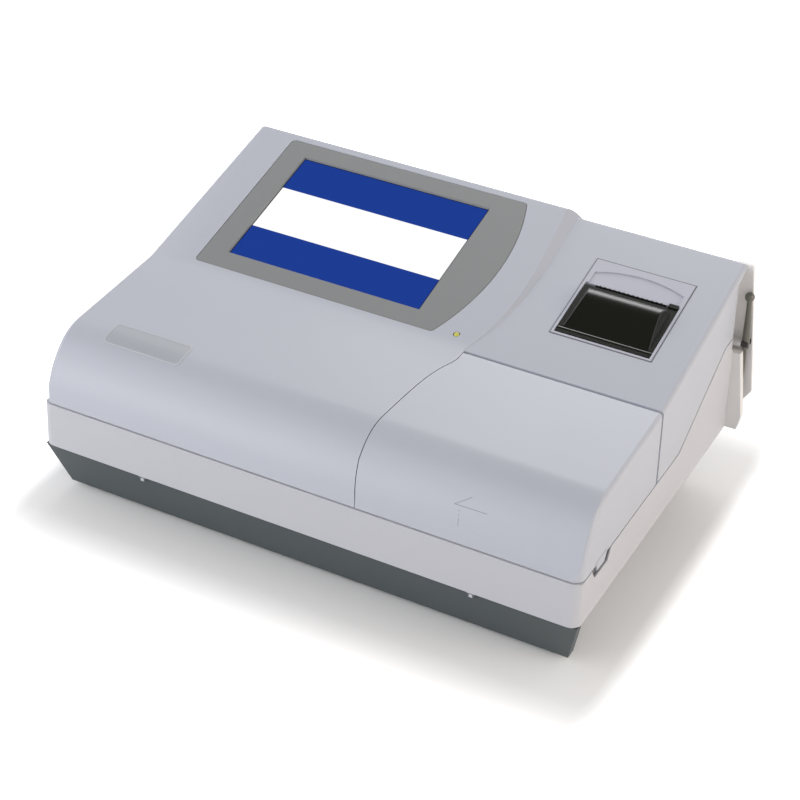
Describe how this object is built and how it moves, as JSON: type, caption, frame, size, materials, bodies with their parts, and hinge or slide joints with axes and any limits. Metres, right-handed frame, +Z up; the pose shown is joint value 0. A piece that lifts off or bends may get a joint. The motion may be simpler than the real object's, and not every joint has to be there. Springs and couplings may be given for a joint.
{
  "type": "microplate reader",
  "caption": "Wedge-shaped bench-top microplate reader with a sloping touch screen, a receipt printer, a lift-up plate door, a sliding plate carriage, filter wheel and optics.",
  "frame": {"origin": "on the bench, under the middle of the instrument's outline box", "axes": "+X to the operator's right, along the case's width; +Y to the rear; +Z up; the operator stands on the -Y side"},
  "size_m": [0.4768, 0.33, 0.1984],
  "materials": {
    "shell_grey": "fine moulded texture",
    "case_grey": "fine moulded texture",
    "base_dark": "fine moulded texture",
    "bezel_grey": "fine satin",
    "screen_glass": "smooth",
    "panel_white": "smooth",
    "printer_grey": "satin",
    "lid_black": "glossy",
    "rubber_black": "matt",
    "steel": "brushed",
    "aluminium": "satin",
    "black_aluminium": "anodised, matt",
    "bronze": "sintered",
    "board_green": "solder resist",
    "filter_glass": "coated",
    "lamp_glass": "clear",
    "paper_white": "thermal paper, matt",
    "led_green": "translucent",
    "white_plastic": "moulded",
    "dark_plastic": "moulded",
    "stylus_blue": "glossy"
  },
  "bodies": {
    "case": {"lower_case": "case_grey", "upper_cover": "shell_grey", "base_pan": "base_dark", "rubber_feet": "rubber_black", "case_screws": "steel", "chassis_deck": "steel", "deck_screws": "steel", "plate_chamber": "dark_plastic", "door_hinge_bracket": "steel", "door_hinge_pins": "steel", "guide_rails": "steel", "rail_supports": "aluminium", "idler_post": "steel", "drive_belt": "rubber_black", "carriage_motor": "black_aluminium", "filter_bracket": "aluminium", "filter_motor": "black_aluminium", "lamp_house": "black_aluminium", "halogen_lamp": "lamp_glass", "fibre_bundle": "rubber_black", "light_guide_block": "black_aluminium", "channel_lenses": "lamp_glass", "detector_head": "black_aluminium", "head_bridge": "aluminium", "main_board": "board_green", "board_standoffs": "steel", "power_supply": "aluminium", "fan_frame": "dark_plastic", "mains_inlet": "dark_plastic", "inlet_pins": "steel", "switch_housing": "dark_plastic", "data_ports": "steel", "display_bezel": "bezel_grey", "touch_glass": "screen_glass", "lcd_module": "steel", "power_led": "led_green", "printer_frame": "printer_grey", "thermal_head": "aluminium", "tear_bar": "steel", "stylus_clip": "dark_plastic", "stylus_holder": "shell_grey"},
    "door": {"plate_door": "shell_grey"},
    "carriage": {"plate_carriage": "dark_plastic", "carriage_bushes": "bronze", "belt_clamp": "aluminium"},
    "motor_rotor": {"drive_pulley": "aluminium", "motor_shaft": "steel"},
    "belt_idler": {"idler_pulley": "aluminium"},
    "wheel": {"filter_wheel": "black_aluminium", "interference_filters": "filter_glass", "filter_shaft": "steel"},
    "fan": {"fan_rotor": "dark_plastic"},
    "rocker": {"power_rocker": "dark_plastic"},
    "lid": {"printer_lid": "lid_black"},
    "release": {"lid_release": "lid_black"},
    "platen": {"platen_roller": "rubber_black", "platen_shaft": "steel"},
    "roll": {"paper_roll": "paper_white", "paper_core": "white_plastic"},
    "pen": {"stylus": "stylus_blue"}
  },
  "joints": [
    {"name": "door_hinge", "type": "hinge", "parent": "case", "child": "door", "pos_m": [0.13903, -0.0191, 0.14658], "axis": [-1, 0, 0], "range_deg": [0, 70]},
    {"name": "carriage_slide", "type": "slide", "parent": "case", "child": "carriage", "axis": [0, 1, 0], "range_m": [0, 0.15]},
    {"name": "motor_turn", "type": "hinge", "parent": "case", "child": "motor_rotor", "pos_m": [0.04803, 0.104, 0.061], "axis": [0, 0, 1], "continuous": true},
    {"name": "idler_turn", "type": "hinge", "parent": "case", "child": "belt_idler", "pos_m": [0.04803, -0.138, 0.061], "axis": [0, 0, 1], "continuous": true},
    {"name": "filter_wheel_turn", "type": "hinge", "parent": "case", "child": "wheel", "pos_m": [-0.00997, 0.043, 0.09], "axis": [1, 0, 0], "continuous": true},
    {"name": "fan_turn", "type": "hinge", "parent": "case", "child": "fan", "pos_m": [-0.06697, 0.155, 0.092], "axis": [0, 1, 0], "continuous": true},
    {"name": "mains_rocker", "type": "hinge", "parent": "case", "child": "rocker", "pos_m": [-0.19897, 0.1615, 0.076], "axis": [-1, 0, 0], "range_deg": [0, 16]},
    {"name": "printer_lid_hinge", "type": "hinge", "parent": "case", "child": "lid", "pos_m": [0.14838, 0.03813, 0.16094], "axis": [1, 0, 0], "range_deg": [0, 100]},
    {"name": "platen_turn", "type": "hinge", "parent": "lid", "child": "platen", "pos_m": [0.14838, 0.08724, 0.16798], "axis": [1, 0, 0], "continuous": true},
    {"name": "paper_roll_turn", "type": "hinge", "parent": "case", "child": "roll", "pos_m": [0.14838, 0.06849, 0.1458], "axis": [1, 0, 0], "continuous": true},
    {"name": "lid_release_press", "type": "slide", "parent": "case", "child": "release", "axis": [0, 0.233, -0.9725], "range_m": [0, 0.0012], "stiffness_N_per_m": 400},
    {"name": "stylus_slide", "type": "slide", "parent": "case", "child": "pen", "axis": [0.998, 0, 0.0637], "range_m": [0, 0.03]}
  ],
  "couplings": [
    {"joint": "motor_turn", "follows": "carriage_slide", "rad_per_m": 125},
    {"joint": "idler_turn", "follows": "carriage_slide", "rad_per_m": 125},
    {"joint": "platen_turn", "follows": "paper_roll_turn", "ratio": -4.3182}
  ]
}
